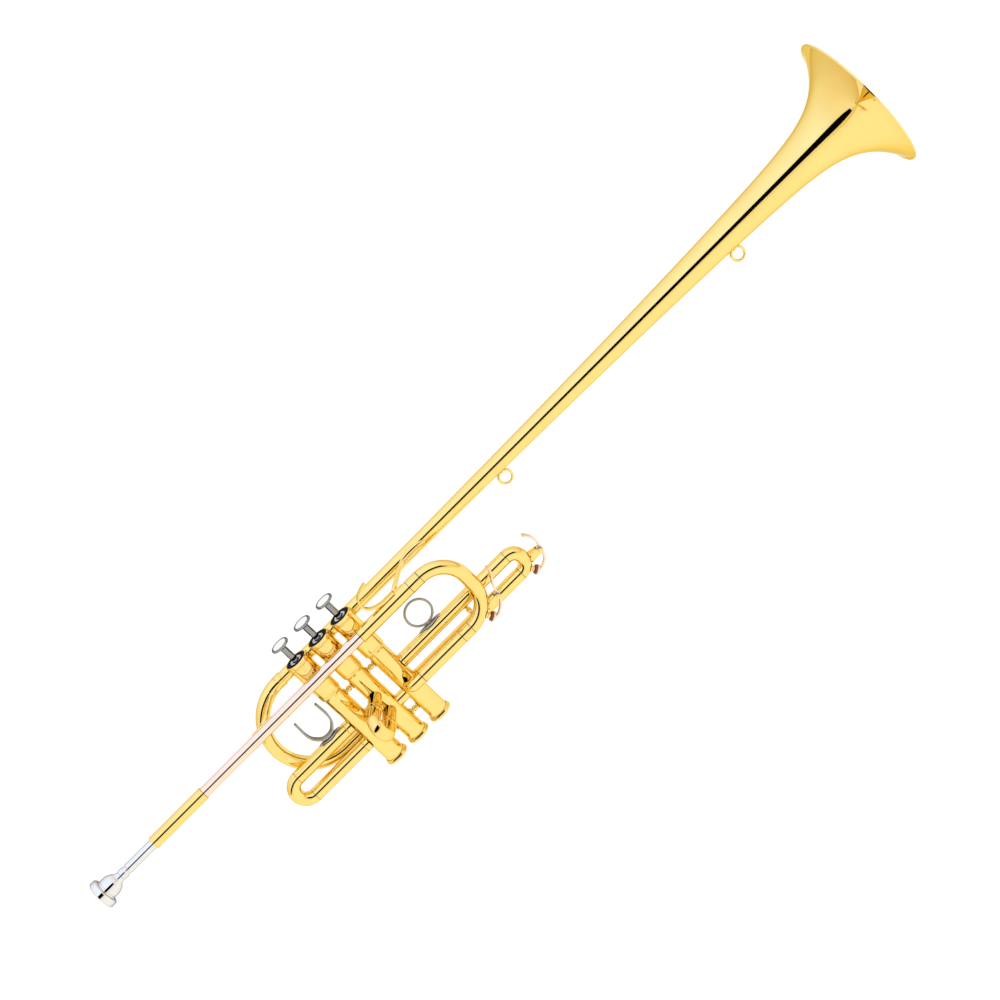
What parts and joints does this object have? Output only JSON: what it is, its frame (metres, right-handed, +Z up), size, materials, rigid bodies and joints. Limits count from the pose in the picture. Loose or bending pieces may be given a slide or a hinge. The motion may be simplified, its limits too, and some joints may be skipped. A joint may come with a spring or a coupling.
{
  "type": "herald trumpet",
  "caption": "Long straight-belled valve trumpet with pull-out slides, water keys, mouthpiece and rings for a banner.",
  "frame": {"origin": "on the middle valve's axis at the height of the leadpipe's axis, between the player's hands", "axes": "+X along the bell away from the player, +Z up the valves towards the finger buttons, +Y to the player's left"},
  "size_m": [0.9315, 0.1383, 0.1874],
  "materials": {
    "lacquered_brass": "polished gold lacquer",
    "rose_brass": "polished clear lacquer over rose brass",
    "bright_nickel": "polished nickel plate",
    "silver_plate": "polished silver plate",
    "piston_alloy": "lapped",
    "pearl": "glossy pearl",
    "felt": "pressed felt",
    "guide_nylon": "moulded",
    "cork": "cut cork",
    "spring_wire": "drawn wire"
  },
  "bodies": {
    "horn": {"mouthpiece_receiver": "lacquered_brass", "leadpipe": "rose_brass", "upper_tuning_sleeve": "lacquered_brass", "lower_tuning_sleeve": "lacquered_brass", "valve_casing_1": "lacquered_brass", "valve_casing_2": "lacquered_brass", "valve_casing_3": "lacquered_brass", "top_caps": "lacquered_brass", "bottom_caps": "lacquered_brass", "valve_felts": "felt", "valve_guides": "guide_nylon", "casing_braces": "lacquered_brass", "passage_tubes": "lacquered_brass", "bell_bow": "lacquered_brass", "bow_ferrules": "lacquered_brass", "bell_elbow": "lacquered_brass", "bell_stem": "lacquered_brass", "bell_flare": "lacquered_brass", "banner_rings": "lacquered_brass", "rear_brace": "lacquered_brass", "front_brace": "lacquered_brass", "finger_hook": "lacquered_brass", "slide_inner_tubes": "lacquered_brass", "second_slide_sleeves": "lacquered_brass"},
    "mouthpiece": {"mouthpiece": "silver_plate"},
    "valve_1": {"piston_1": "piston_alloy", "stem_1": "bright_nickel", "finger_button_1": "bright_nickel", "pearl_1": "pearl", "valve_spring_1": "spring_wire"},
    "valve_2": {"piston_2": "piston_alloy", "stem_2": "bright_nickel", "finger_button_2": "bright_nickel", "pearl_2": "pearl", "valve_spring_2": "spring_wire"},
    "valve_3": {"piston_3": "piston_alloy", "stem_3": "bright_nickel", "finger_button_3": "bright_nickel", "pearl_3": "pearl", "valve_spring_3": "spring_wire"},
    "tuning_slide": {"tuning_bow": "lacquered_brass", "tuning_slide_legs": "lacquered_brass", "tuning_ferrules": "lacquered_brass", "tuning_key_saddle": "lacquered_brass"},
    "tuning_key": {"tuning_key_lever": "rose_brass", "tuning_key_cork": "cork", "tuning_key_spring": "spring_wire"},
    "first_slide": {"first_slide_sleeves": "lacquered_brass", "first_slide_crook": "lacquered_brass", "thumb_saddle": "bright_nickel"},
    "second_slide": {"second_slide_legs": "lacquered_brass", "second_slide_crook": "lacquered_brass"},
    "third_slide": {"third_slide_sleeves": "lacquered_brass", "third_slide_crook": "lacquered_brass", "finger_ring": "bright_nickel", "third_slide_stop": "lacquered_brass", "third_key_saddle": "lacquered_brass"},
    "third_key": {"third_key_lever": "rose_brass", "third_key_cork": "cork", "third_key_spring": "spring_wire"}
  },
  "joints": [
    {"name": "mouthpiece_pull", "type": "slide", "parent": "horn", "child": "mouthpiece", "axis": [-1, 0, 0], "range_m": [0, 0.022]},
    {"name": "valve_1_press", "type": "slide", "parent": "horn", "child": "valve_1", "axis": [0, 0, -1], "range_m": [0, 0.0165], "stiffness_N_per_m": 120, "springref_m": -0.022, "deforming": ["valve_spring_1"]},
    {"name": "valve_2_press", "type": "slide", "parent": "horn", "child": "valve_2", "axis": [0, 0, -1], "range_m": [0, 0.0165], "stiffness_N_per_m": 120, "springref_m": -0.022, "deforming": ["valve_spring_2"]},
    {"name": "valve_3_press", "type": "slide", "parent": "horn", "child": "valve_3", "axis": [0, 0, -1], "range_m": [0, 0.0165], "stiffness_N_per_m": 120, "springref_m": -0.022, "deforming": ["valve_spring_3"]},
    {"name": "tuning_slide_pull", "type": "slide", "parent": "horn", "child": "tuning_slide", "axis": [1, 0, 0], "range_m": [0, 0.045]},
    {"name": "tuning_key_press", "type": "hinge", "parent": "tuning_slide", "child": "tuning_key", "pos_m": [0.1325, -0.0171, -0.0612], "axis": [0, -1, 0], "range_deg": [0, 18], "stiffness_Nm_per_rad": 0.08, "springref_deg": -28.65},
    {"name": "first_slide_pull", "type": "slide", "parent": "horn", "child": "first_slide", "axis": [-1, 0, 0], "range_m": [0, 0.045]},
    {"name": "second_slide_pull", "type": "slide", "parent": "horn", "child": "second_slide", "axis": [-0.342, -0.9397, 0], "range_m": [0, 0.012]},
    {"name": "third_slide_pull", "type": "slide", "parent": "horn", "child": "third_slide", "axis": [1, 0, 0], "range_m": [0, 0.03]},
    {"name": "third_key_press", "type": "hinge", "parent": "third_slide", "child": "third_key", "pos_m": [0.1858, 0, -0.06605], "axis": [0, -1, 0], "range_deg": [0, 16], "stiffness_Nm_per_rad": 0.08, "springref_deg": -28.65}
  ]
}
